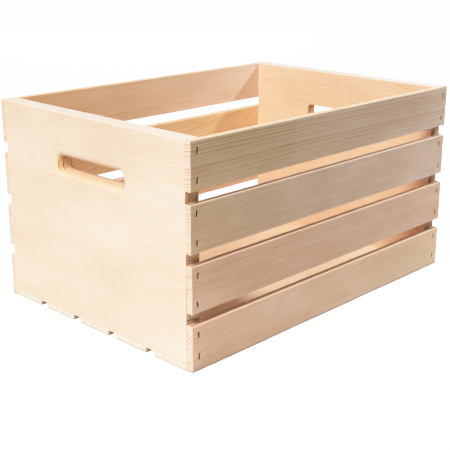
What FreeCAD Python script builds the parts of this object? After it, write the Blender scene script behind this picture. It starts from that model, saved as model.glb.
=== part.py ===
import FreeCAD, Part
import os
import random

# Wooden apple crate, in millimetres.
# Frame: the origin is on the ground under the middle of the crate, +X runs along its
# length and +Z is up. The front is the long side at -Y, and left is the end at -X.
# Two solid end boards carry four slats on each long side and five slats underneath.
# Two narrow-crown staples hold each slat end. Nothing on the crate moves.

# --- driving dimensions ---
LENGTH = 457.2
WIDTH = 317.5
HEIGHT = 241.3

END_THICK = 19.05
SIDE_THICK = 7.9375
FLOOR_THICK = 6.35
SLAT_WIDTH = 50.8
SIDE_SLATS = 4
FLOOR_SLATS = 5
ARRIS = 0.4                 # width of the broken corner along each board's grain

HAND_HOLE_LENGTH = 107.95
HAND_HOLE_HEIGHT = 17.4625
HAND_HOLE_Z = 183.3         # middle of the hand-hole above the ground
LEFT_HOLE_Y = -2.3          # middle of each hand-hole across its board
RIGHT_HOLE_Y = 0.5
HAND_HOLE_CORNER = 5.5      # radius of the hand-hole's own corners
HAND_HOLE_ROUND = 6.35      # round-over of the hand-hole's outer rim

STAPLE_CROWN = 5.7
STAPLE_LEG = 25.4
WIRE_WIDTH = 1.25
WIRE_THICK = 1.02
STAPLE_SUNK = 0.9           # depth of the crown below the slat's face
DRIVER_GAP = 0.2            # how far the driver's slot reaches past the crown all round

SIDE_STAPLE_INSET = 9.5     # from the slat's end, at the middle of the end board
FLOOR_STAPLE_INSET = 14.5   # from the slat's end, clear of the side staples' legs
EDGE_INSET = 10.5           # from the slat's long edges
BOARD_EDGE_INSET = 8.5      # least distance from the end board's lower edge
SCATTER = 1.2               # each staple is driven up to this far off its mark
LEAN = 12.0                 # and turned up to this many degrees
SCATTER_SEED = 11

# --- sizes that follow ---
END_WIDTH = WIDTH - 2 * SIDE_THICK
SIDE_GAP = (HEIGHT - SIDE_SLATS * SLAT_WIDTH) / (SIDE_SLATS - 1)
FLOOR_GAP = (END_WIDTH - FLOOR_SLATS * SLAT_WIDTH) / (FLOOR_SLATS - 1)

# A staple is made with its crown across the mouth of a hole that runs along +Y.
# These turns take it to the front, to the back and to the underside.
DRIVEN_BACK = FreeCAD.Rotation(FreeCAD.Vector(0, 0, 1), 0)
DRIVEN_FORWARD = FreeCAD.Rotation(FreeCAD.Vector(0, 0, 1), 180)
DRIVEN_UP = FreeCAD.Rotation(FreeCAD.Vector(1, 0, 0), 90)

chance = random.Random(SCATTER_SEED)


def board(size, corner, grain):
    """A sawn board with the arrises along its grain broken. grain is its long direction."""
    solid = Part.makeBox(size.x, size.y, size.z, corner)
    along = [
        edge for edge in solid.Edges
        if abs(edge.tangentAt(edge.FirstParameter).dot(grain)) > 0.99
    ]
    return solid.makeChamfer(ARRIS, along)


def staple():
    """One staple: crown along Z with its outer face at y = 0, legs along +Y, chisel tips."""
    outer = STAPLE_CROWN / 2
    inner = outer - WIRE_THICK
    tip = STAPLE_LEG - WIRE_THICK
    outline = [
        (0, -outer), (0, outer), (tip, outer), (STAPLE_LEG, inner),
        (WIRE_THICK, inner), (WIRE_THICK, -inner), (STAPLE_LEG, -inner), (tip, -outer),
    ]
    points = [FreeCAD.Vector(-WIRE_WIDTH / 2, y, z) for y, z in outline]
    face = Part.Face(Part.makePolygon(points + points[:1]))
    return face.extrude(FreeCAD.Vector(WIRE_WIDTH, 0, 0))


def driver_slot():
    """The slot that the driver presses into the wood above a sunk staple."""
    across = WIRE_WIDTH + 2 * DRIVER_GAP
    along = STAPLE_CROWN + 2 * DRIVER_GAP
    corner = FreeCAD.Vector(-across / 2, -STAPLE_SUNK, -along / 2)
    return Part.makeBox(across, STAPLE_SUNK, along, corner)


def drive(mark, driven, across):
    """A staple and its slot, driven near mark. across is the way it may stray besides X."""
    middle = (
        mark
        + FreeCAD.Vector(1, 0, 0) * chance.uniform(-SCATTER, SCATTER)
        + across * chance.uniform(-SCATTER, SCATTER)
        + driven.multVec(FreeCAD.Vector(0, STAPLE_SUNK, 0))
    )
    lean = FreeCAD.Rotation(FreeCAD.Vector(0, 1, 0), chance.uniform(-LEAN, LEAN))
    place = FreeCAD.Placement(middle, driven.multiply(lean))
    placed = []
    for shape in (staple(), driver_slot()):
        shape.Placement = place
        placed.append(shape)
    return placed


def side_marks(face_y, bottom):
    """Where the four staples of a side slat go: two at each end, one above the other."""
    lowest = max(bottom + EDGE_INSET, FLOOR_THICK + BOARD_EDGE_INSET)
    heights = (lowest, bottom + SLAT_WIDTH - EDGE_INSET)
    ends = (SIDE_STAPLE_INSET - LENGTH / 2, LENGTH / 2 - SIDE_STAPLE_INSET)
    return [FreeCAD.Vector(x, face_y, z) for x in ends for z in heights]


def floor_marks(low_y):
    """Where the four staples of a floor slat go: two at each end, side by side."""
    places = (low_y + EDGE_INSET, low_y + SLAT_WIDTH - EDGE_INSET)
    ends = (FLOOR_STAPLE_INSET - LENGTH / 2, LENGTH / 2 - FLOOR_STAPLE_INSET)
    return [FreeCAD.Vector(x, y, 0) for x in ends for y in places]


def stapled_slat(size, corner, marks, driven, across):
    """A slat cut for its staples, and the staples themselves as a list of solids."""
    slat = board(size, corner, FreeCAD.Vector(1, 0, 0))
    driven_in = [drive(mark, driven, across) for mark in marks]
    staples = [pair[0] for pair in driven_in]
    slots = [pair[1] for pair in driven_in]
    return slat.cut(slots + staples), staples


def side_slats(side, low_y, face_y, driven):
    """The slats of one long side, numbered from the top. face_y is their outer face."""
    size = FreeCAD.Vector(LENGTH, SIDE_THICK, SLAT_WIDTH)
    made = {}
    for number in range(1, SIDE_SLATS + 1):
        bottom = HEIGHT - number * SLAT_WIDTH - (number - 1) * SIDE_GAP
        corner = FreeCAD.Vector(-LENGTH / 2, low_y, bottom)
        marks = side_marks(face_y, bottom)
        made[f"{side}_slat_{number}"] = stapled_slat(
            size, corner, marks, driven, FreeCAD.Vector(0, 0, 1))
    return made


def floor_slats():
    """The slats under the end boards, numbered from the front."""
    size = FreeCAD.Vector(LENGTH, SLAT_WIDTH, FLOOR_THICK)
    made = {}
    for number in range(1, FLOOR_SLATS + 1):
        low_y = -END_WIDTH / 2 + (number - 1) * (SLAT_WIDTH + FLOOR_GAP)
        corner = FreeCAD.Vector(-LENGTH / 2, low_y, 0)
        made[f"floor_slat_{number}"] = stapled_slat(
            size, corner, floor_marks(low_y), DRIVEN_UP, FreeCAD.Vector(0, 1, 0))
    return made


def hand_hole(low_x, middle_y):
    """The opening with rounded corners right through the end board that starts at low_x."""
    low = FreeCAD.Vector(
        low_x, middle_y - HAND_HOLE_LENGTH / 2, HAND_HOLE_Z - HAND_HOLE_HEIGHT / 2)
    opening = Part.makeBox(END_THICK, HAND_HOLE_LENGTH, HAND_HOLE_HEIGHT, low)
    corners = [
        edge for edge in opening.Edges
        if abs(edge.tangentAt(edge.FirstParameter).x) > 0.99
    ]
    return opening.makeFillet(HAND_HOLE_CORNER, corners)


def rim_edges(solid, face_x, middle_y):
    """The edges of the hand-hole that lie in the board's face at face_x."""
    reach_y = HAND_HOLE_LENGTH / 2 + ARRIS
    reach_z = HAND_HOLE_HEIGHT / 2 + ARRIS
    found = []
    for edge in solid.Edges:
        bounds = edge.BoundBox
        in_face = max(abs(bounds.XMin - face_x), abs(bounds.XMax - face_x)) < ARRIS / 10
        off_y = abs(bounds.Center.y - middle_y)
        off_z = abs(bounds.Center.z - HAND_HOLE_Z)
        if in_face and off_y < reach_y and off_z < reach_z:
            found.append(edge)
    return found


def end_board(outward, middle_y, staples):
    """The end board at +X or -X, as outward says, cut by its hand-hole and staple legs."""
    outer_x = outward * LENGTH / 2
    low_x = min(outer_x, outer_x - outward * END_THICK)
    size = FreeCAD.Vector(END_THICK, END_WIDTH, HEIGHT - FLOOR_THICK)
    corner = FreeCAD.Vector(low_x, -END_WIDTH / 2, FLOOR_THICK)
    solid = board(size, corner, FreeCAD.Vector(0, 1, 0))
    solid = solid.cut(hand_hole(low_x, middle_y))
    solid = solid.makeFillet(HAND_HOLE_ROUND, rim_edges(solid, outer_x, middle_y))
    return solid.cut([one for one in staples if one.BoundBox.Center.x * outward > 0])


def crate():
    """Every piece of the crate by its node's name."""
    stapled = {}
    stapled.update(side_slats("front", -WIDTH / 2, -WIDTH / 2, DRIVEN_BACK))
    stapled.update(side_slats("back", WIDTH / 2 - SIDE_THICK, WIDTH / 2, DRIVEN_FORWARD))
    stapled.update(floor_slats())
    pieces = {}
    staples = []
    for name, (slat, held_by) in stapled.items():
        pieces[name] = slat
        pieces[f"{name}_staples"] = Part.makeCompound(held_by)
        staples.extend(held_by)
    pieces["left_end_board"] = end_board(-1, LEFT_HOLE_Y, staples)
    pieces["right_end_board"] = end_board(1, RIGHT_HOLE_Y, staples)
    return pieces


os.makedirs("parts", exist_ok=True)
for node, shape in crate().items():
    shape.exportStep(f"parts/{node}.step")
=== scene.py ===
import math

import bpy
import numpy as np
from mathutils import Matrix, Vector


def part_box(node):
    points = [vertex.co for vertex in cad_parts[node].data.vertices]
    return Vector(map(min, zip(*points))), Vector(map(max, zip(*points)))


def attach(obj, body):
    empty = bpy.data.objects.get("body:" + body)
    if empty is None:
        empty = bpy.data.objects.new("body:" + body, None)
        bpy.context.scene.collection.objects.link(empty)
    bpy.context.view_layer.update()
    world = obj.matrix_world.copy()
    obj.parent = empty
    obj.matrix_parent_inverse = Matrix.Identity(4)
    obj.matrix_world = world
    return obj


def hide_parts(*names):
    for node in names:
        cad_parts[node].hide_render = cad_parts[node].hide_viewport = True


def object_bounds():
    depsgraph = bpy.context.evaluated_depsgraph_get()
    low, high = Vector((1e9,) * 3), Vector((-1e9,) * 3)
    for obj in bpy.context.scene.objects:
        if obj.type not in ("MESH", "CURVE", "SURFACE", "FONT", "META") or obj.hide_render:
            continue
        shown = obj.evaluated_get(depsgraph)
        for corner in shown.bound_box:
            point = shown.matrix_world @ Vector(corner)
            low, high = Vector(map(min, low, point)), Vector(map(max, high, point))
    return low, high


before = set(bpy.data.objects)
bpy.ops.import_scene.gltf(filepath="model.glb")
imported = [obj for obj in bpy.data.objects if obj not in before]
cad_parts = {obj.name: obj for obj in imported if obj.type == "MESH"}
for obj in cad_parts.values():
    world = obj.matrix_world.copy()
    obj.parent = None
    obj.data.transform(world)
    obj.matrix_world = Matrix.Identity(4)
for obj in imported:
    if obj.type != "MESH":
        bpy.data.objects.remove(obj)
cad_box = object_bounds()

# Wooden apple crate. Every length is in metres.
# Each board is rebuilt as a fine mesh in the place its CAD node holds, with softened arrises,
# rough-sawn ends and pressed-in staple slots. Its wood is one solid block of growth rings, so
# the lines on its faces run on over its edges and ends.

MM = 0.001

# --- shape of the boards ---
ARRIS = 0.75 * MM            # usual radius of a board's corner
ARRIS_CHANGE = 0.45          # how much that radius changes along the board
ARRIS_WAVE = 0.03            # and over what length
ARRIS_RANGE = (-1, 1.4)      # the least and the most of that change
ARRIS_PALE = 1.3             # strength of the arris's paler wood, wear and a painted highlight, which is held at 1
ARRIS_REACH = 1.8            # and how many radii it takes to fade by 1
SLAT_ACROSS = 1.5 * MM       # mesh spacing across a slat
SLAT_DEEP = 1.3 * MM         # through its thickness
SLAT_END = 0.8 * MM          # along it, near its ends
SLAT_FINE_REACH = 18 * MM    # the length of that fine stretch
SLAT_ALONG = 5 * MM          # along it elsewhere
SPACING_GROWTH = 1.3         # how fast the spacing grows from fine to wide
BOARD_AROUND = 3.2 * MM      # mesh spacing round an end board
BOARD_DEEP = 1.4 * MM        # through its thickness
BOARD_RINGS = 46             # mesh loops from the hand-hole to the board's edge
WALL_RINGS = 10              # along the hand-hole's straight wall, its two ends counted
ROUND_RINGS = 10             # and over its rounded rim
SLOT_WIDTH = 2.3 * MM        # a staple's slot
SLOT_LENGTH = 6.8 * MM
SLOT_DEPTH = 1.75 * MM
SLOT_DENT = 0.14 * MM        # how far its rim is pressed in
SLOT_REACH = (4, 5)          # the mesh lines that bend towards a slot, on each side of its middle
SLOT_PULL_FADE = 0.45        # each further line is pulled this share as far
SLOT_DENT_FADE = 0.35        # and dented this share as deep
SAW_DEPTH = 0.22 * MM        # roughness of a sawn end
SLAT_SAW_LENGTHS = (0.004, 0.011)       # the lengths of its bumps
BOARD_SAW_LENGTH = 0.005
PLANE_WAVE = 0.05 * MM       # unevenness of a planed face
SLAT_PLANE_LENGTHS = (0.045, 0.06)      # the lengths of its waves, on the faces and the edges
BOARD_PLANE_LENGTH = 0.05
HAND_HOLE_ROUND = 6.35 * MM
HAND_HOLE_INNER = 0.8 * MM   # round-over of its rim on the inner face
HOLLOW_START = 0.25 * MM     # recesses and openings count as hollow, for their painted shade, from this depth
HOLLOW_FULL = 1.3 * MM
SHARP_ANGLE = math.radians(38)
# A mesh line this share of the radius into a rounded corner ends up a quarter of the way round.
ARC_TANGENT = math.tan(math.radians(22.5))
IN_FACE = 0.05 * MM          # CAD points this near a face lie in it
ON_RIM = 0.02 * MM           # and this near the hand-hole's upper edge, on it

# --- colours of the wood, as a picture's 0 to 255 values ---
PALE_EARLY = (241, 213, 188)
PALE_LATE = (231, 190, 150)
WARM_EARLY = (233, 196, 160)
WARM_LATE = (203, 150, 106)
SLAT_END_EARLY = (244, 213, 190)
SLAT_END_LATE = (184, 140, 112)
FLOOR_END_EARLY = (250, 231, 210)
FLOOR_END_LATE = (214, 182, 150)
# Painted highlights on the upper and lower edges of the top slats and the end boards.
BOARD_TOP_HIGHLIGHT = (252, 237, 226)
SLAT_TOP_HIGHLIGHT = (255, 211, 176)
# Painted shade on the upper and lower faces of the lower front slats, where the slat above shades
# them.
EDGE_PAINTED_SHADE = (138, 86, 42)
BOARD_END_EARLY = (240, 202, 160)
BOARD_END_LATE = (132, 78, 40)
END_PORE = (120, 78, 46)
# Painted warm shade inside the hand-holes, and painted dark shade inside the staple slots.
HOLE_PAINTED_SHADE = (1.0, 0.89, 0.75)
SLOT_PAINTED_SHADE = (0.16, 0.10, 0.07)
# Staple wire painted near black, for the shade deep in its slots.
WIRE_SHADED_DARK = (12, 9, 7)
WIRE_SHADED_PALE = (24, 19, 15)
WIRE_STAIN = (20, 12, 8)

# --- grain, in places counted in growth rings ---
# Each noise: how much it's squeezed along the grain, its scale, detail and roughness.
BEND_NOISE = (0.15, 0.05, 1.5, 0.5)
WOBBLE_NOISE = (0.12, 0.32, 2, 0.5)
FIBRE_NOISE = (0.022, 3.2, 4, 0.65)
THREAD_NOISE = (0.018, 9.0, 2, 0.6)
BLOTCH_NOISE = (0.35, 0.075, 3, 0.55)
FLECK_NOISE = (0.035, 1.9, 1, 0.4)
FUZZ_NOISE = (0.25, 6.0, 3, 0.6)
PORE_NOISE = (1.0, 5.5, 2, 0.6)
BEND = 4.4                   # how far the log's axis wanders
WOBBLE = 0.55                # and the finer waves on it
DRIFT_SCALE = 0.31           # unevenness of the growth rings' widths
DRIFT = 2.6
# How dark the wood is through one year's ring: (share of the ring, darkness).
RING = [(0.0, 0.35), (0.05, 0.0), (0.50, 0.05), (0.74, 0.30), (0.90, 1.0), (1.0, 0.85)]
FAINTEST_RING = 0.45         # the darkness of the faintest ring beside the strongest
END_CONTRAST = 0.9           # the least darkness of the rings on the end grain
# Each range: a value's low and high, and what those two become.
END_FACING = (0.25, 0.70)
TOP_FACING = (0.5, 0.9)
FIBRE_TONES = (0.3, 0.72, -0.14, 0.30)
THREAD_TONES = (0.3, 0.7, -0.12, 0.16)
FLECK_TONES = (0.68, 0.76, 0, 0.16)
PORE_TONES = (0.42, 0.7, 0, 0.35)
WARM_TONES = (0.3, 0.7, -0.32, 0.32)
LIGHT_TONES = (0.25, 0.75, 1.03, 0.95)
# How much the arrises pale, partly from wear and partly as a painted highlight.
WEAR_AND_HIGHLIGHT_TONES = (0.25, 0.7, 0.5, 0.9)
WEAR_AND_HIGHLIGHT_END = (0, 1, 1, 0.35)   # the arrises' wear and painted highlight are weaker on the end grain
ROUGHNESS = (0.25, 0.75, 0.52, 0.68)
LATE_ROUGHNESS = -0.10
END_ROUGHNESS = 0.15
RELIEF_DEPTH = 0.12 * MM
LATE_RELIEF = 0.5            # the shares of that depth
FIBRE_RELIEF = 0.7
THREAD_RELIEF = 0.3
FUZZ_RELIEF = 0.25
PORE_RELIEF = -3.0
PINE_SHINE = 0.3

# --- staple wire ---
SPANGLE_NOISE = (900, 3, 0.6)
STAIN_NOISE = (260, 2, 0.5)
SPANGLE_TONES = (0.3, 0.7)
STAIN_TONES = (0.45, 0.7, 0, 0.7)
WIRE_ROUGHNESS = (0.3, 0.7, 0.5, 0.7)
WIRE_RELIEF = 0.06 * MM
WIRE_BUMP = 0.6
WIRE_SHINE = 0.05

# --- camera ---
CAMERA_PLACE = (-0.825227, -0.781994, 0.434924)
CAMERA_AZIMUTH = math.radians(-47.083)
CAMERA_ELEVATION = math.radians(16.657)
CAMERA_ROLL = math.radians(0.448)
CAMERA_LENS = 74.914
CAMERA_SHIFT = -0.04         # the picture's framing, the same across and up
SENSOR = 36.0

# --- tones ---
FILM_WHITE = 2.2             # the light that comes out white
FILM_CURVE = [(0.3, 0.3), (0.6, 0.585), (0.8, 0.745), (1.0, 0.86), (1.3, 0.95), (1.8, 0.995)]

# --- light ---
LIT_HEIGHT = 0.12            # the lamps are aimed at this height above the floor
LAMP_DISTANCE = 3.0
SOFT_LIGHTS = [              # name, the way to it from the crate, its side and its power
    ("key", (-0.60, -0.18, 0.77), 0.5, 85.0),
    ("side", (-0.90, -0.12, 0.42), 1.0, 54.0),
    ("rear", (0.62, 0.76, 0.08), 1.2, 22.0),
]
FILL_PLACE = (0.62, -0.38, 0.62)
FILL_POWER = 3.5
FILL_SIDE = 0.05
WHITE = (1.0, 1.0, 1.0)
COOL = (0.85, 0.93, 1.0)
GLOW_DEEP = 0.35             # each patch of lit table beside the crate
GLOW_LONG = 1.2
GLOW_GAP = 0.001             # between it and the crate
GLOW_HEIGHT = 0.001
TABLE_GLOWS = [              # name, the side of the crate it lies on, power and colour
    ("glow_front", (0, -1), 0.98, WHITE),
    ("glow_left", (-1, 0), 1.3, WHITE),
    ("glow_back", (0, 1), 0.50, WHITE),
    ("glow_right", (1, 0), 0.50, WHITE),
]
WORLD_COLOUR = (1.0, 1.0, 1.0, 1.0)
WORLD_STRENGTH = 0.10
FLOOR_GLOW = 1.5
FLOOR_FLAT = 4.0             # the floor is level this far out
FLOOR_BEND = 2.0             # and then bends up with this radius
FLOOR_TRAVEL = 14.0          # along it from its middle to its rim
FLOOR_DROP = 0.0003          # it lies this far below the crate
FLOOR_RINGS = 40
FLOOR_SPOKES = 72
FLOOR_NOISE = (3, 2)
FLOOR_SHADES = (0.29, 0.31)
FLOOR_ROUGHNESS = 0.9
FLOOR_SHINE = 0.1


# ---------------------------------------------------------------- small tools

def waves(points, length, seed, count=7):
    """A smooth random height, mostly from -1 to 1, with bumps about length apart."""
    rng = np.random.default_rng(seed)
    total = np.zeros(len(points))
    for _ in range(count):
        way = rng.normal(size=3)
        way *= 2 * np.pi / (length * rng.uniform(0.6, 1.7) * np.linalg.norm(way))
        total += np.sin(points @ way + rng.uniform(0, 2 * np.pi))
    return total / math.sqrt(count)


def graded(size, near, reach, far):
    """Places from one end of an edge to the other: near apart at the ends, far apart between."""
    places = [near]
    step = near
    while places[-1] < size / 2 - far:
        if places[-1] > reach:
            step = min(far, step * SPACING_GROWTH)
        places.append(places[-1] + step)
    places = np.array(places)
    return np.concatenate([places, (size - places)[::-1]])


def even(size, step):
    """Places about step apart from one end of an edge to the other."""
    count = max(2, round(size / step))
    return np.linspace(0, size, count + 1)[1:-1]


class Lines:
    """Where the mesh lines lie along one edge of a box. Lines in an arris move with its radius."""

    def __init__(self, size, inner):
        slope = 1 - ARC_TANGENT
        self.base = np.concatenate([[0, 0, 0], inner, [size] * 3])
        self.pull = np.concatenate([[0, slope, 1], np.zeros(len(inner)), [-1, -slope, 0]])

    def __len__(self):
        return len(self.base)


def uneven_radius(nominal, seed):
    """The radius of a board's corners at each of its points."""
    return ARRIS * (1 + ARRIS_CHANGE * np.clip(waves(nominal, ARRIS_WAVE, seed), *ARRIS_RANGE))


def rounded(sharp, size, radius):
    """Points of a sharp box drawn onto the same box with rounded edges and corners."""
    radius = radius[:, None]
    inner = np.clip(sharp, radius, size - radius)
    out = sharp - inner
    return inner + radius * out / np.linalg.norm(out, axis=1)[:, None]


def mesh_object(name, points, quads, place):
    """A smooth-shaded mesh object, sharp edges marked, from points in a board's own frame."""
    mesh = bpy.data.meshes.new(name)
    points = points @ np.array(place.to_3x3()).T + np.array(place.translation)
    corners = points[quads]
    volume = np.einsum("ij,ij->i", corners[:, 0], np.cross(corners[:, 1], corners[:, 2])).sum()
    volume += np.einsum("ij,ij->i", corners[:, 0], np.cross(corners[:, 2], corners[:, 3])).sum()
    if volume < 0:
        quads = quads[:, ::-1]
    mesh.from_pydata(points.tolist(), [], quads.tolist())
    mesh.polygons.foreach_set("use_smooth", np.ones(len(quads), bool))
    mesh.set_sharp_from_angle(angle=SHARP_ANGLE)
    mesh.validate()
    made = bpy.data.objects.new(name, mesh)
    bpy.context.scene.collection.objects.link(made)
    return made


# ---------------------------------------------------------------- slats
# A slat's own frame: X along it, Y into its thickness from its outer face, Z across its width.

def lattice_box(lines):
    """Numbers for the surface points of a box of mesh lines, and the lines that each lies on."""
    shape = tuple(len(one) for one in lines)
    index = np.indices(shape)
    on_skin = np.zeros(shape, bool)
    for axis in range(3):
        on_skin |= (index[axis] == 0) | (index[axis] == shape[axis] - 1)
    number = np.full(shape, -1)
    number[on_skin] = np.arange(on_skin.sum())
    places = [index[axis][on_skin] for axis in range(3)]
    return number, places


def skin_quads(sheet, flip):
    """The quads of one face of a box, from its sheet of point numbers."""
    quads = np.stack([sheet[:-1, :-1], sheet[1:, :-1], sheet[1:, 1:], sheet[:-1, 1:]], -1)
    return quads[..., ::-1] if flip else quads


def slot_block(points, number, lines_x, lines_z, slot):
    """Moves a block of the outer face's points onto a staple slot. Returns the block's middle."""
    x, z, lean = slot
    i = int(np.abs(lines_x.base - x).argmin())
    k = int(np.abs(lines_z.base - z).argmin())
    turn = np.array([[math.cos(lean), -math.sin(lean)], [math.sin(lean), math.cos(lean)]])
    for di in range(-SLOT_REACH[0], SLOT_REACH[0] + 1):
        for dk in range(-SLOT_REACH[1], SLOT_REACH[1] + 1):
            near = np.clip([di, dk], [-1, -2], [1, 2])
            away = max(abs(di - near[0]), abs(dk - near[1]))
            goal = turn @ (near * [SLOT_WIDTH / 2, SLOT_LENGTH / 4]) + [x, z]
            start = np.array([lines_x.base[i + near[0]], lines_z.base[k + near[1]]])
            move = (goal - start) * SLOT_PULL_FADE ** away
            dent = SLOT_DENT * SLOT_DENT_FADE ** away
            points[number[i + di, 0, k + dk]] += [move[0], dent, move[1]]
    return i, k


def slat_mesh(name, size, slots, place, seed):
    """A slat with rounded, uneven arrises, rough ends and a recess for each staple."""
    lines = [
        Lines(size[0], graded(size[0], SLAT_END, SLAT_FINE_REACH, SLAT_ALONG)),
        Lines(size[1], even(size[1], SLAT_DEEP)),
        Lines(size[2], even(size[2], SLAT_ACROSS)),
    ]
    number, at = lattice_box(lines)
    nominal = np.stack([line.base[index] for line, index in zip(lines, at)], -1)
    radius = uneven_radius(nominal, seed)
    pull = np.stack([line.pull[index] for line, index in zip(lines, at)], -1)
    points = rounded(nominal + pull * radius[:, None], np.array(size), radius)

    face_length, edge_length = SLAT_PLANE_LENGTHS
    points[:, 1] += PLANE_WAVE * waves(nominal * [1, 1, 2], face_length, seed + 1)
    points[:, 2] += PLANE_WAVE * waves(nominal, edge_length, seed + 2)
    fine_length, coarse_length = SLAT_SAW_LENGTHS
    fine = waves(nominal * [0, 2, 1], fine_length, seed + 3)
    coarse = waves(nominal, coarse_length, seed + 4)
    rough = 0.5 * fine + 0.5 * coarse
    for end, inward in ((0, 1), (len(lines[0]) - 1, -1)):
        cap = at[0] == end
        points[cap, 0] += inward * SAW_DEPTH * (0.5 + 0.5 * rough[cap])

    middles = [slot_block(points, number, lines[0], lines[2], slot) for slot in slots]
    outer = skin_quads(number[:, 0, :], False)
    keep = np.ones(outer.shape[:2], bool)
    extra_points, recess = [], []
    for i, k in middles:
        keep[i - 1:i + 1, k - 2:k + 2] = False
        block = number[i - 1:i + 2, 0, k - 2:k + 3]
        first = len(points) + sum(map(len, extra_points))
        deep = np.arange(block.size).reshape(block.shape) + first
        floor = points[block.ravel()].copy()
        floor[:, 1] = SLOT_DEPTH
        extra_points.append(floor)
        recess.append(skin_quads(deep, False).reshape(-1, 4))
        rim = [(a, 0) for a in range(2)] + [(2, b) for b in range(4)]
        rim += [(a, 4) for a in (2, 1)] + [(0, b) for b in (4, 3, 2, 1)]
        loop = rim + rim[:1]
        for a, b in zip(loop, loop[1:]):
            recess.append(np.array([[block[a], block[b], deep[b], deep[a]]]))
    quads = [
        outer[keep],
        skin_quads(number[:, -1, :], True).reshape(-1, 4),
        skin_quads(number[:, :, 0], True).reshape(-1, 4),
        skin_quads(number[:, :, -1], False).reshape(-1, 4),
        skin_quads(number[0], True).reshape(-1, 4),
        skin_quads(number[-1], False).reshape(-1, 4),
        *recess,
    ]
    points = np.concatenate([points, *extra_points])
    quads = np.concatenate(quads)
    used = np.unique(quads)
    renumber = np.full(len(points), -1)
    renumber[used] = np.arange(len(used))
    return mesh_object(name, points[used], renumber[quads], place)


# ---------------------------------------------------------------- end boards
# An end board's own frame: X across the crate, Y into its thickness from its outer face, Z up.
# Its mesh is a loop that runs round the board, carried round a section that goes out over the
# outer face, over the edge, back over the inner face and through the hand-hole.

def board_outline(width, height, radius, step):
    """Points of the board's sharp outline from its lower left corner on.

    With each point goes the number of its side and its share of that side."""
    half = width / 2
    corners = np.array([[-half, 0], [half, 0], [half, height], [-half, height]])
    points, side, share = [], [], []
    for number in range(4):
        start, end = corners[number], corners[(number + 1) % 4]
        length = np.linalg.norm(end - start)
        ends = np.array([1 - ARC_TANGENT, 1]) * radius
        along = np.concatenate([[0], ends, even(length, step), (length - ends)[::-1]])
        along = np.sort(along)
        points.append(start + (end - start) * (along / length)[:, None])
        side.append(np.full(len(along), number))
        share.append(along / length)
    return np.concatenate(points), np.concatenate(side), np.concatenate(share)


def hole_ray(side, share, reach, radius):
    """For each outline point, the centre and the direction of the hand-hole's matching point."""
    half = np.array(reach)[side % 2]
    other = np.array(reach)[1 - side % 2]
    quarter = math.pi / 4
    arc = quarter * radius
    total = 2 * (arc + half)
    along = share * total
    turned = np.where(along < arc, along / radius - quarter, 0)
    turned = np.where(along > total - arc, (along - total) / radius + quarter, turned)
    facing = np.array([-math.pi / 2, 0, math.pi / 2, math.pi])[side] + turned
    travel = np.array([[1, 0], [0, 1], [-1, 0], [0, -1]])[side]
    out = np.array([[0, -1], [1, 0], [0, 1], [-1, 0]])[side]
    middle = np.clip(along - arc, 0, 2 * half) - half
    centre = travel * middle[:, None] + out * other[:, None]
    return centre, np.stack([np.cos(facing), np.sin(facing)], -1)


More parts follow.
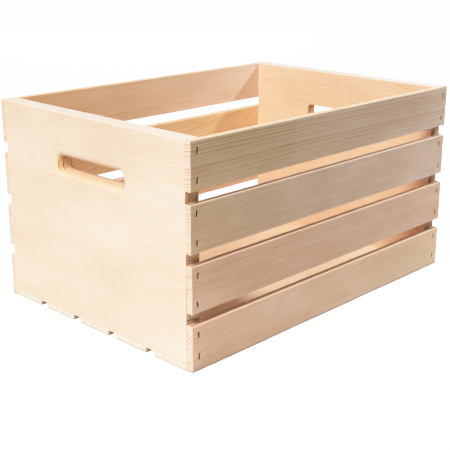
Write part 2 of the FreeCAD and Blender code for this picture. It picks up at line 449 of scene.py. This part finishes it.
def end_board_mesh(name, size, hole, place, seed):
    """An end board with its hand-hole: (middle, half lengths of its straight sides, corner)."""
    width, thick, height = size
    hole_middle, reach, bore = hole
    outline, side, share = board_outline(width, height, ARRIS, BOARD_AROUND)
    nominal = np.stack([outline[:, 0], np.zeros(len(outline)), outline[:, 1]], -1)
    radius = uneven_radius(nominal, seed)
    to_middle = np.array([0, height / 2]) - outline
    inset = outline + to_middle * 2 * radius[:, None] / [width, height]
    rim = bore + HAND_HOLE_ROUND
    centre, facing = hole_ray(side, share, reach, rim)
    centre = centre + hole_middle

    def at_hole(away, depth):
        points = facing * away + centre
        return np.stack([points[:, 0], np.full(len(points), depth), points[:, 1]], -1)

    def flat(points, depth):
        return np.stack([points[:, 0], np.broadcast_to(depth, len(points)), points[:, 1]], -1)

    def between(a, b, part):
        return a + (b - a) * part

    parts = np.linspace(0, 1, BOARD_RINGS)
    box_rings = [between(at_hole(rim, 0), flat(inset, 0), part) for part in parts]
    box_rings += [flat(between(inset, outline, part), 0) for part in (ARC_TANGENT, 1)]
    box_rings += [flat(outline, radius * part) for part in (1 - ARC_TANGENT, 1)]
    box_rings += [flat(outline, depth) for depth in even(thick, BOARD_DEEP)]
    box_rings += [flat(outline, thick - radius * part) for part in (1, 1 - ARC_TANGENT)]
    box_rings += [flat(between(inset, outline, part), thick) for part in (1, ARC_TANGENT)]
    inner_rim = at_hole(bore + HAND_HOLE_INNER, thick)
    box_rings += [between(inner_rim, flat(inset, thick), part) for part in parts[::-1]]
    shift = np.array([width / 2, 0, 0])
    box_rings = [rounded(ring + shift, np.array(size), radius) - shift for ring in box_rings]
    hole_rings = []
    for angle in np.radians([30, 60, 90]):
        away = bore + HAND_HOLE_INNER * (1 - math.sin(angle))
        hole_rings.append(at_hole(away, thick - HAND_HOLE_INNER * (1 - math.cos(angle))))
    wall = np.linspace(thick - HAND_HOLE_INNER, HAND_HOLE_ROUND, WALL_RINGS)[1:-1]
    hole_rings += [at_hole(bore, depth) for depth in wall]
    for angle in np.radians(np.linspace(0, 90, ROUND_RINGS)[:-1]):
        away = bore + HAND_HOLE_ROUND * (1 - math.cos(angle))
        hole_rings.append(at_hole(away, HAND_HOLE_ROUND * (1 - math.sin(angle))))
    rings = np.stack(box_rings + hole_rings, 1)
    number = np.arange(rings.shape[0] * rings.shape[1]).reshape(rings.shape[:2])
    points = rings.reshape(-1, 3)
    sheet = np.concatenate([number, number[:1]], 0)
    sheet = np.concatenate([sheet, sheet[:, :1]], 1)
    quads = skin_quads(sheet, False).reshape(-1, 4)

    start = points.copy()
    for axis in range(3):
        points[:, axis] += PLANE_WAVE * waves(start, BOARD_PLANE_LENGTH, seed + axis)
    sawn = width / 2 - np.abs(start[:, 0]) < ARRIS / 10
    rough = 0.5 + 0.5 * waves(start, BOARD_SAW_LENGTH, seed + 5)
    points[sawn, 0] -= np.sign(start[sawn, 0]) * SAW_DEPTH * rough[sawn]
    return mesh_object(name, points, quads, place)


# ---------------------------------------------------------------- grain

class Cut:
    """How a board was cut from its log.

    pith is where the log's middle lies, across and behind the board's outer face, from the middle
    of its width. slant is how far the log leans to the board, in degrees, in the same two ways.
    ring is the width of a growth ring. strength and warmth say how dark its rings are and how
    orange it is. first and last colour the board's two ends, and it changes evenly between them;
    beyond its tone they hold painted light and shade that vary along it. edge is the strength
    of a painted highlight on its upper and lower faces, or below zero of painted shade on them."""

    def __init__(self, pith, slant, ring, strength, warmth, first, last, edge=0.0):
        self.pith = np.array(pith) * MM
        self.slant = np.tan(np.radians(slant))
        self.ring = ring * MM
        self.tone = (strength, warmth, edge)
        self.tints_with_painted_light = np.array([first, last])


def set_attribute(mesh, name, values):
    """A per-vertex attribute of vectors or plain numbers."""
    values = np.asarray(values, np.float32)
    kind, field = ("FLOAT_VECTOR", "vector") if values.ndim == 2 else ("FLOAT", "value")
    mesh.attributes.new(name, kind, "POINT").data.foreach_set(field, values.ravel())


def add_grain(piece, place, size, middle, cut):
    """Stores where in its log each point of a board lies, and its tone and colours, for the
    wood to read; the tone and colours include painted light and shade.

    The log's third axis runs along the grain. All three are counted in growth rings."""
    mesh = piece.data
    points = np.empty(len(mesh.vertices) * 3, np.float32)
    mesh.vertices.foreach_get("co", points)
    back = np.array(place.inverted())
    points = points.reshape(-1, 3) @ back[:3, :3].T + back[:3, 3] - middle
    along = points[:, 0]
    across = points[:, 2] - cut.pith[0] + along * cut.slant[0]
    behind = points[:, 1] + size[1] / 2 - cut.pith[1] + along * cut.slant[1]
    set_attribute(mesh, "log", np.stack([across, behind, along], -1) / cut.ring)
    set_attribute(mesh, "tone", np.tile(cut.tone, (len(points), 1)))
    # The colours along each board hold painted light and shade as well as its tone.
    share = (points[:, 0] / size[0] + 0.5)[:, None]
    set_attribute(mesh, "tint_with_painted_light", cut.tints_with_painted_light[0] + (cut.tints_with_painted_light[1] - cut.tints_with_painted_light[0]) * share)
    inward = np.sort(np.array(size) / 2 - np.abs(points), axis=1)
    fade = inward[:, 1] / (ARRIS_REACH * ARRIS)
    set_attribute(mesh, "arris", np.clip(ARRIS_PALE - fade, 0, 1))
    set_attribute(mesh, "hollow", np.clip((inward[:, 0] - HOLLOW_START) / HOLLOW_FULL, 0, 1))


# ---------------------------------------------------------------- materials

def linear(rgb):
    """A shader colour from the 0 to 255 values of a picture."""
    srgb = np.array(rgb) / 255
    return (*np.where(srgb < 0.04045, srgb / 12.92, ((srgb + 0.055) / 1.055) ** 2.4), 1.0)


class Nodes:
    """Short ways to add shader nodes to one material."""

    def __init__(self, name):
        self.material = bpy.data.materials.new(name)
        self.material.use_nodes = True
        self.tree = self.material.node_tree
        self.shader = self.tree.nodes["Principled BSDF"]

    def add(self, kind, inputs=(), **settings):
        """A node, with its inputs given by name or number as values or as other nodes' outputs."""
        node = self.tree.nodes.new(kind)
        for key, value in settings.items():
            setattr(node, key, value)
        for key, value in dict(inputs).items():
            self.put(node.inputs[key], value)
        return node

    def put(self, socket, value):
        if isinstance(value, bpy.types.NodeSocket):
            self.tree.links.new(value, socket)
        else:
            socket.default_value = value

    def math(self, operation, *values, clamp=False):
        node = self.add("ShaderNodeMath", enumerate(values), operation=operation, use_clamp=clamp)
        return node.outputs[0]

    def stretch(self, value, low, high, to_low=0.0, to_high=1.0):
        """value carried from one range to another, and held inside it."""
        inputs = {"Value": value, 1: low, 2: high, 3: to_low, 4: to_high}
        return self.add("ShaderNodeMapRange", inputs).outputs[0]

    def vector(self, operation, *values):
        node = self.add("ShaderNodeVectorMath", enumerate(values), operation=operation)
        return node.outputs[0]

    def noise(self, place, scale, detail=2.0, rough=0.5, output="Fac"):
        inputs = {"Vector": place, "Scale": scale, "Detail": detail, "Roughness": rough}
        return self.add("ShaderNodeTexNoise", inputs).outputs[output]

    def wood_noise(self, place, kind, output="Fac"):
        """One of the wood's noises, squeezed along the grain."""
        along, *kind = kind
        return self.noise(self.vector("MULTIPLY", place, (1, 1, along)), *kind, output)

    def sway(self, place, kind, reach):
        """A smooth random move across the grain, up to half of reach each way."""
        way = self.vector("SUBTRACT", self.wood_noise(place, kind, "Color"), (0.5, 0.5, 0.5))
        return self.vector("MULTIPLY", way, (reach, reach, 0))

    def noise_line(self, place, scale, detail=1.0):
        """Noise along a single number."""
        inputs = {"W": place, "Scale": scale, "Detail": detail}
        return self.add("ShaderNodeTexNoise", inputs, noise_dimensions="1D").outputs["Fac"]

    def ramp(self, value, stops):
        """A curve through (place, height) stops."""
        node = self.add("ShaderNodeValToRGB", {"Fac": value})
        points = node.color_ramp.elements
        while len(points) < len(stops):
            points.new(0.5)
        for point, (place, height) in zip(points, stops):
            point.position = place
            point.color = (height, height, height, 1)
        return node.outputs["Color"]

    def mix(self, share, first, second):
        node = self.add("ShaderNodeMix", data_type="RGBA")
        for number, value in ((0, share), (6, first), (7, second)):
            self.put(node.inputs[number], value)
        return node.outputs[2]

    def attribute(self, name, output):
        return self.add("ShaderNodeAttribute", attribute_name=name).outputs[output]

    def split(self, vector):
        """The three parts of a vector."""
        return self.add("ShaderNodeSeparateXYZ", {0: vector}).outputs

    def bump(self, height, depth, strength):
        inputs = {"Height": height, "Distance": depth, "Strength": strength}
        self.put(self.shader.inputs["Normal"], self.add("ShaderNodeBump", inputs).outputs[0])


def pine(name, grain_axis, end_early, end_late, painted_top_highlight, painted_hollow_shade):
    """Solid pine, cut from the log that the pieces' own attributes describe.

    grain_axis, "X" or "Y", is the way the boards' grain runs, which tells end grain from face.
    Its top colour is a painted highlight on the palest upper and lower edges, and its hollow
    colour darkens the wood inside its recesses and openings as painted shade."""
    nodes = Nodes(name)
    log = nodes.attribute("log", "Vector")
    # The tone's third part is the strength of a painted highlight on upper and lower faces, or
    # below zero of painted shade on them.
    strength, warmth, painted_edge_light = nodes.split(nodes.attribute("tone", "Vector"))
    hollow = nodes.attribute("hollow", "Fac")
    arris = nodes.attribute("arris", "Fac")

    facing = nodes.split(nodes.add("ShaderNodeTexCoord").outputs["Normal"])
    end_grain = nodes.stretch(nodes.math("ABSOLUTE", facing[grain_axis]), *END_FACING)
    # Each board's colouring along its length holds its tone and also painted light and shade; the
    # end grain is left out.
    tint_with_painted_light = nodes.mix(end_grain, nodes.attribute("tint_with_painted_light", "Vector"), (1, 1, 1, 1))
    edge = nodes.stretch(nodes.math("ABSOLUTE", facing["Z"]), *TOP_FACING)
    edge = nodes.math("MULTIPLY", edge, nodes.math("SUBTRACT", 1.0, hollow))
    # Painted highlight on the upper and lower faces of the boards that ask for it.
    sunlit = nodes.math("MULTIPLY", edge, nodes.math("MAXIMUM", painted_edge_light, 0.0))
    # Painted shade on the lower front slats' upper and lower faces, away from the arris, where the
    # slat above shades them.
    inside = nodes.math("MULTIPLY", edge, nodes.math("SUBTRACT", 1.0, arris))
    painted_edge_shade = nodes.math("MULTIPLY", inside, nodes.stretch(painted_edge_light, -1, 0, 1, 0))

    # The log's axis wanders, so its rings are wavy.
    place = nodes.vector("ADD", log, nodes.sway(log, BEND_NOISE, BEND))
    place = nodes.vector("ADD", place, nodes.sway(log, WOBBLE_NOISE, WOBBLE))
    flat = nodes.vector("MULTIPLY", place, (1, 1, 0))
    years = nodes.add("ShaderNodeVectorMath", {0: flat}, operation="LENGTH").outputs["Value"]
    years = nodes.math("MULTIPLY_ADD", nodes.noise_line(years, DRIFT_SCALE), DRIFT, years)
    year = nodes.math("FLOOR", years)
    chance = nodes.add("ShaderNodeTexWhiteNoise", {"W": year}, noise_dimensions="1D")
    late = nodes.ramp(nodes.math("FRACT", years), RING)
    depth = nodes.stretch(chance.outputs["Value"], 0, 1, FAINTEST_RING, 1.0)
    late = nodes.math("MULTIPLY", late, depth)
    contrast = nodes.math("MAXIMUM", strength, nodes.math("MULTIPLY", end_grain, END_CONTRAST))
    late = nodes.math("MULTIPLY", late, contrast)

    # Fibres run along the grain. On the ends they show as fine pores.
    fibre = nodes.wood_noise(place, FIBRE_NOISE)
    thread = nodes.wood_noise(place, THREAD_NOISE)
    blotch = nodes.wood_noise(log, BLOTCH_NOISE)
    fleck = nodes.wood_noise(place, FLECK_NOISE)
    pores = nodes.stretch(nodes.wood_noise(log, PORE_NOISE), *PORE_TONES)
    pores = nodes.math("MULTIPLY", pores, end_grain)

    dark = nodes.math("ADD", late, nodes.stretch(fibre, *FIBRE_TONES))
    dark = nodes.math("ADD", dark, nodes.stretch(thread, *THREAD_TONES))
    dark = nodes.math("ADD", dark, nodes.stretch(fleck, *FLECK_TONES), clamp=True)
    warm = nodes.math("ADD", warmth, nodes.stretch(blotch, *WARM_TONES), clamp=True)
    early = nodes.mix(warm, linear(PALE_EARLY), linear(WARM_EARLY))
    early = nodes.mix(end_grain, early, linear(end_early))
    dense = nodes.mix(warm, linear(PALE_LATE), linear(WARM_LATE))
    dense = nodes.mix(end_grain, dense, linear(end_late))
    sawn = nodes.mix(dark, early, dense)
    sawn = nodes.mix(pores, sawn, linear(END_PORE))
    # Arrises pale, partly from wear and partly as a painted highlight along them.
    worn_and_highlit = nodes.math("MULTIPLY", arris, nodes.stretch(blotch, *WEAR_AND_HIGHLIGHT_TONES))
    worn_and_highlit = nodes.math("MULTIPLY", worn_and_highlit, nodes.stretch(end_grain, *WEAR_AND_HIGHLIGHT_END))
    sawn = nodes.mix(worn_and_highlit, sawn, linear(PALE_EARLY))
    # Painted shade on the lower front slats' upper and lower faces.
    sawn = nodes.mix(painted_edge_shade, sawn, linear(EDGE_PAINTED_SHADE))
    light = nodes.stretch(blotch, *LIGHT_TONES)
    shaded = nodes.add("ShaderNodeVectorMath", {0: sawn, "Scale": light}, operation="SCALE")
    # Each board's colouring along it, with its painted light and shade.
    tinted_with_painted_light = nodes.vector("MULTIPLY", shaded.outputs[0], tint_with_painted_light)
    # Painted highlight on the chosen upper and lower edges.
    tinted_with_painted_light = nodes.mix(sunlit, tinted_with_painted_light, linear(painted_top_highlight))
    # Painted shade inside recesses and openings.
    deep = nodes.vector("MULTIPLY", tinted_with_painted_light, painted_hollow_shade)
    nodes.put(nodes.shader.inputs["Base Color"], nodes.mix(hollow, tinted_with_painted_light, deep))

    rough = nodes.stretch(fibre, *ROUGHNESS)
    rough = nodes.math("MULTIPLY_ADD", late, LATE_ROUGHNESS, rough)
    rough = nodes.math("MULTIPLY_ADD", end_grain, END_ROUGHNESS, rough)
    nodes.put(nodes.shader.inputs["Roughness"], rough)
    nodes.shader.inputs["Specular IOR Level"].default_value = PINE_SHINE

    relief = nodes.math("MULTIPLY", late, LATE_RELIEF)
    fuzz = nodes.wood_noise(log, FUZZ_NOISE)
    reliefs = [
        (fibre, FIBRE_RELIEF), (thread, THREAD_RELIEF), (fuzz, FUZZ_RELIEF), (pores, PORE_RELIEF)]
    for part, height in reliefs:
        relief = nodes.math("MULTIPLY_ADD", part, height, relief)
    nodes.bump(relief, RELIEF_DEPTH, 1.0)
    return nodes.material


def steel(name):
    """Staple wire painted near black for the shade deep in its slots, matte and a little stained.
    """
    nodes = Nodes(name)
    place = nodes.add("ShaderNodeTexCoord").outputs["Object"]
    spangle = nodes.noise(place, *SPANGLE_NOISE)
    stain = nodes.noise(place, *STAIN_NOISE)
    spangled = nodes.stretch(spangle, *SPANGLE_TONES)
    colour = nodes.mix(spangled, linear(WIRE_SHADED_DARK), linear(WIRE_SHADED_PALE))
    colour = nodes.mix(nodes.stretch(stain, *STAIN_TONES), colour, linear(WIRE_STAIN))
    nodes.put(nodes.shader.inputs["Base Color"], colour)
    nodes.shader.inputs["Specular IOR Level"].default_value = WIRE_SHINE
    nodes.put(nodes.shader.inputs["Roughness"], nodes.stretch(spangle, *WIRE_ROUGHNESS))
    nodes.bump(stain, WIRE_RELIEF, WIRE_BUMP)
    return nodes.material


# ---------------------------------------------------------------- putting it together

# Each board's cut. The front and the left end are the ones seen from outside.
# A board's first and last colours hold its tone and also painted light and shade that vary along
# it.
CUTS = {
    "left_end_board": Cut(
        (58, 25), (0.3, 0.5), 3.6, 0.22, 0.25, (0.91, 0.89, 0.92), (0.91, 0.90, 0.94), 0.45),
    "right_end_board": Cut(
        (-30, 140), (0.6, 1.0), 3.6, 0.24, 0.9, (0.98, 0.93, 0.93), (1.0, 0.93, 0.93), 0.7),
    "front_slat_1": Cut(
        (-92, -22), (0.5, 0.2), 3.7, 1.0, 0.85, (0.88, 0.89, 0.79), (0.97, 1.06, 1.22), 0.8),
    "front_slat_2": Cut(
        (-120, -18), (0.3, 0.3), 2.5, 0.62, 0.85, (0.88, 0.88, 0.83), (1.05, 1.14, 1.36), -0.5),
    "front_slat_3": Cut(
        (110, 40), (0.3, 0.5), 2.9, 0.55, 0.85, (0.98, 0.90, 0.88), (1.04, 1.00, 1.06), -0.5),
    "front_slat_4": Cut(
        (80, 62), (0.4, 0.7), 3.2, 0.48, 0.85, (1.09, 1.00, 1.00), (1.15, 1.18, 1.21), -0.6),
    "back_slat_1": Cut(
        (-70, 60), (0.4, 0.8), 3.0, 0.40, 0.80, (1.06, 1.18, 1.36), (0.96, 0.83, 0.62), 0.8),
    "back_slat_2": Cut(
        (-78, -26), (7.0, 2.5), 3.4, 1.0, 0.85, (1.20, 1.20, 1.02), (0.90, 0.80, 0.58)),
    "back_slat_3": Cut(
        (-60, -50), (0.3, 1.2), 2.7, 0.45, 0.55, (1.06, 1.06, 1.06), (1.02, 1.02, 1.00)),
    "back_slat_4": Cut(
        (90, 30), (0.3, 0.4), 2.6, 0.50, 0.50, (1.05, 1.06, 1.08), (1.04, 1.02, 1.00)),
    "floor_slat_1": Cut(
        (100, 20), (0.3, 0.4), 2.8, 0.50, 0.6, (1.10, 1.05, 0.88), (1.08, 1.10, 1.08)),
    "floor_slat_2": Cut(
        (-30, 60), (0.3, 1.1), 3.1, 0.45, 0.35, (1.17, 1.28, 1.18), (1.10, 1.20, 1.28)),
    "floor_slat_3": Cut(
        (20, -55), (0.3, 1.4), 2.6, 0.50, 0.40, (1.15, 1.22, 1.12), (1.10, 1.20, 1.28)),
    "floor_slat_4": Cut(
        (-110, 25), (0.3, 0.4), 2.9, 0.40, 0.50, (1.06, 1.04, 0.96), (1.06, 1.08, 1.10)),
    "floor_slat_5": Cut(
        (60, 50), (0.3, 0.9), 2.7, 0.45, 0.50, (1.06, 1.04, 0.98), (1.06, 1.08, 1.10)),
}

# The front slats don't end quite in line.
STAGGER = {
    "front_slat_1": -0.5 * MM,
    "front_slat_2": -0.8 * MM,
    "front_slat_3": 0.3 * MM,
    "front_slat_4": 0.3 * MM,
}


def standing_frame(kind, low, high, stagger=0.0):
    """The matrix from a board's own frame to the crate's, and the board's size in its own frame."""
    span = high - low
    columns = {
        "front": ((1, 0, 0), (0, 1, 0), (0, 0, 1), (low.x + stagger, low.y, low.z)),
        "back": ((-1, 0, 0), (0, -1, 0), (0, 0, 1), (high.x + stagger, high.y, low.z)),
        "floor": ((1, 0, 0), (0, 0, 1), (0, -1, 0), (low.x + stagger, high.y, low.z)),
        "left": ((0, -1, 0), (1, 0, 0), (0, 0, 1), (low.x, (low.y + high.y) / 2, low.z)),
        "right": ((0, 1, 0), (-1, 0, 0), (0, 0, 1), (high.x, (low.y + high.y) / 2, low.z)),
    }[kind]
    place = Matrix([(*row, 0) for row in columns[:3]] + [(0, 0, 0, 1)]).transposed()
    place.translation = columns[3]
    if kind == "floor":
        return place, (span.x, span.z, span.y)
    if kind in ("left", "right"):
        return place, (span.y, span.x, span.z)
    return place, (span.x, span.y, span.z)


def cad_points(node, place):
    """The points of a CAD node, in the frame of the board at place."""
    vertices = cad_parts[node].data.vertices
    return np.array([place.inverted() @ vertex.co for vertex in vertices])


def staple_slots(node, place, size):
    """Where a slat's four staples are, in its own frame, from the CAD staples: (x, z, lean)."""
    points = cad_points(node, place)
    slots = []
    for right in (False, True):
        for upper in (False, True):
            here = (points[:, 0] > size[0] / 2) == right
            here &= (points[:, 2] > size[2] / 2) == upper
            group = points[here]
            crown = group[group[:, 1] < group[:, 1].min() + IN_FACE]
            middle = (crown.max(0) + crown.min(0)) / 2
            top = crown[crown[:, 2] > middle[2]].mean(0) - middle
            slots.append((middle[0], middle[2], math.atan2(-top[0], top[2])))
    return slots


def hand_hole_shape(node, place, size):
    """The hand-hole's middle, half straight lengths and corner radius, from the CAD end board."""
    points = cad_points(node, place)
    on_face = points[np.abs(points[:, 1] - size[1]) < IN_FACE]
    # The hole lies in the middle half of the board's width, away from its foot and its top edge.
    inside = np.abs(on_face[:, 0]) < size[0] / 4
    inside &= (on_face[:, 2] > size[2] / 4) & (on_face[:, 2] < size[2] * 0.95)
    rim = on_face[inside][:, [0, 2]]
    low, high = rim.min(0), rim.max(0)
    along_top = rim[rim[:, 1] > high[1] - ON_RIM]
    corner = high[0] - along_top[:, 0].max()
    return (high + low) / 2, (high - low) / 2 - corner, corner


PINES = {                    # the way the grain runs, the wood's own colours, its painted highlight on top edges and its painted shade in hollows
    "end_board_pine": ("Y", BOARD_END_EARLY, BOARD_END_LATE, BOARD_TOP_HIGHLIGHT, HOLE_PAINTED_SHADE),
    "side_slat_pine": ("X", SLAT_END_EARLY, SLAT_END_LATE, SLAT_TOP_HIGHLIGHT, SLOT_PAINTED_SHADE),
    "floor_slat_pine": ("X", FLOOR_END_EARLY, FLOOR_END_LATE, SLAT_TOP_HIGHLIGHT, SLOT_PAINTED_SHADE),
}
pines = {name: pine(name, *looks) for name, looks in PINES.items()}
staple_wire = steel("staple_wire")

for seed, (node, cut) in enumerate(CUTS.items()):
    kind = node.split("_")[0]
    place, size = standing_frame(kind, *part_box(node), STAGGER.get(node, 0.0))
    if kind in ("left", "right"):
        wood = "end_board_pine"
        hole = hand_hole_shape(node, place, size)
        piece = end_board_mesh(node + "_wood", size, hole, place, 10 * seed)
        middle = np.array([0, size[1] / 2, size[2] / 2])
    else:
        wood = "floor_slat_pine" if kind == "floor" else "side_slat_pine"
        slots = staple_slots(node + "_staples", place, size)
        piece = slat_mesh(node + "_wood", size, slots, place, 10 * seed)
        middle = np.array(size) / 2
    add_grain(piece, place, size, middle, cut)
    piece.data.materials.append(pines[wood])
    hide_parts(node)
    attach(piece, "root")

for node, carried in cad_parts.items():
    if node.endswith("_staples"):
        for slot in carried.material_slots:
            slot.material = staple_wire


# ---------------------------------------------------------------- floor, light and camera

def studio_floor():
    """A plain pale floor that bends up far from the crate. It doesn't light or shade it."""
    rings, spokes = FLOOR_RINGS, FLOOR_SPOKES
    points = []
    for ring in range(rings + 1):
        travel = ring / rings * FLOOR_TRAVEL
        bend = min(max(travel - FLOOR_FLAT, 0) / FLOOR_BEND, math.pi / 2)
        rise = max(travel - FLOOR_FLAT - FLOOR_BEND * math.pi / 2, 0)
        out = min(travel, FLOOR_FLAT) + FLOOR_BEND * math.sin(bend)
        up = FLOOR_BEND * (1 - math.cos(bend)) + rise
        for spoke in range(spokes):
            turn = 2 * math.pi * spoke / spokes
            points.append((out * math.cos(turn), out * math.sin(turn), up - FLOOR_DROP))
    quads = []
    for ring in range(rings):
        for spoke in range(spokes):
            a, b = ring * spokes + spoke, ring * spokes + (spoke + 1) % spokes
            quads.append((a, a + spokes, b + spokes, b))
    mesh = bpy.data.meshes.new("studio_floor")
    mesh.from_pydata(points, [], quads)
    mesh.polygons.foreach_set("use_smooth", [True] * len(quads))
    floor = bpy.data.objects.new("studio_floor", mesh)
    bpy.context.scene.collection.objects.link(floor)
    nodes = Nodes("studio_floor")
    grain = nodes.noise(nodes.add("ShaderNodeTexCoord").outputs["Object"], *FLOOR_NOISE)
    nodes.put(nodes.shader.inputs["Base Color"], nodes.ramp(grain, list(enumerate(FLOOR_SHADES))))
    nodes.shader.inputs["Roughness"].default_value = FLOOR_ROUGHNESS
    nodes.shader.inputs["Specular IOR Level"].default_value = FLOOR_SHINE
    nodes.shader.inputs["Emission Color"].default_value = (1, 1, 1, 1)
    nodes.shader.inputs["Emission Strength"].default_value = FLOOR_GLOW
    mesh.materials.append(nodes.material)
    floor.visible_diffuse = False
    floor.visible_glossy = False
    floor.visible_shadow = False


def lamp(name, power, colour, size, place, facing):
    """A rectangular lamp at place that shines against facing. The camera doesn't see it."""
    data = bpy.data.lights.new(name, "AREA")
    data.shape = "RECTANGLE"
    data.size, data.size_y = size
    data.energy = power
    data.color = colour
    made = bpy.data.objects.new(name, data)
    bpy.context.scene.collection.objects.link(made)
    made.location = place
    made.rotation_mode = "QUATERNION"
    made.rotation_quaternion = Vector(facing).to_track_quat("Z", "Y")
    made.visible_camera = False


def soft_light(name, toward, side, power):
    """A square lamp out along toward, aimed at the crate."""
    way = Vector(toward).normalized()
    place = Vector((0, 0, LIT_HEIGHT)) + way * LAMP_DISTANCE
    lamp(name, power, WHITE, (side, side), place, way)


def table_glow():
    """What a lit white table would throw up from each side of the crate."""
    high = cad_box[1]
    for name, side, power, colour in TABLE_GLOWS:
        out = Vector((*side, 0))
        half = abs(high.x if side[0] else high.y)
        place = out * (half + GLOW_GAP + GLOW_DEEP / 2)
        place.z = GLOW_HEIGHT
        size = (GLOW_DEEP, GLOW_LONG) if side[0] else (GLOW_LONG, GLOW_DEEP)
        lamp(name, power, colour, size, place, (0, 0, -1))


def camera():
    turn, rise = CAMERA_AZIMUTH, CAMERA_ELEVATION
    back = Vector((
        math.sin(turn) * math.cos(rise), -math.cos(turn) * math.cos(rise), math.sin(rise)))
    right = Vector((math.cos(turn), math.sin(turn), 0))
    up = back.cross(right)
    roll = CAMERA_ROLL
    across = math.cos(roll) * right + math.sin(roll) * up
    upward = -math.sin(roll) * right + math.cos(roll) * up
    place = Matrix([(*across, 0), (*upward, 0), (*back, 0), (*CAMERA_PLACE, 1)]).transposed()
    data = bpy.data.cameras.new("camera")
    data.lens = CAMERA_LENS
    data.sensor_width = SENSOR
    data.shift_x = CAMERA_SHIFT
    data.shift_y = CAMERA_SHIFT
    data.clip_start = 0.01
    data.clip_end = 200
    made = bpy.data.objects.new("camera", data)
    made.matrix_world = place
    bpy.context.scene.collection.objects.link(made)
    bpy.context.scene.camera = made


def film_curve():
    """The photograph's tones: highlights roll off softly into white."""
    view = bpy.context.scene.view_settings
    view.view_transform = "Standard"
    view.use_curve_mapping = True
    mapping = view.curve_mapping
    mapping.white_level = (FILM_WHITE,) * 3
    points = mapping.curves[3].points
    points[0].location = (0, 0)
    points[-1].location = (1, 1)
    for light, tone in FILM_CURVE:
        points.new(light / FILM_WHITE, tone)
    mapping.update()


studio_floor()
for soft in SOFT_LIGHTS:
    soft_light(*soft)
lamp("fill", FILL_POWER, COOL, (FILL_SIDE, FILL_SIDE), FILL_PLACE, FILL_PLACE)
table_glow()

world = bpy.data.worlds.new("studio")
world.use_nodes = True
backdrop = world.node_tree.nodes["Background"]
backdrop.inputs["Color"].default_value = WORLD_COLOUR
backdrop.inputs["Strength"].default_value = WORLD_STRENGTH
bpy.context.scene.world = world
film_curve()
camera()
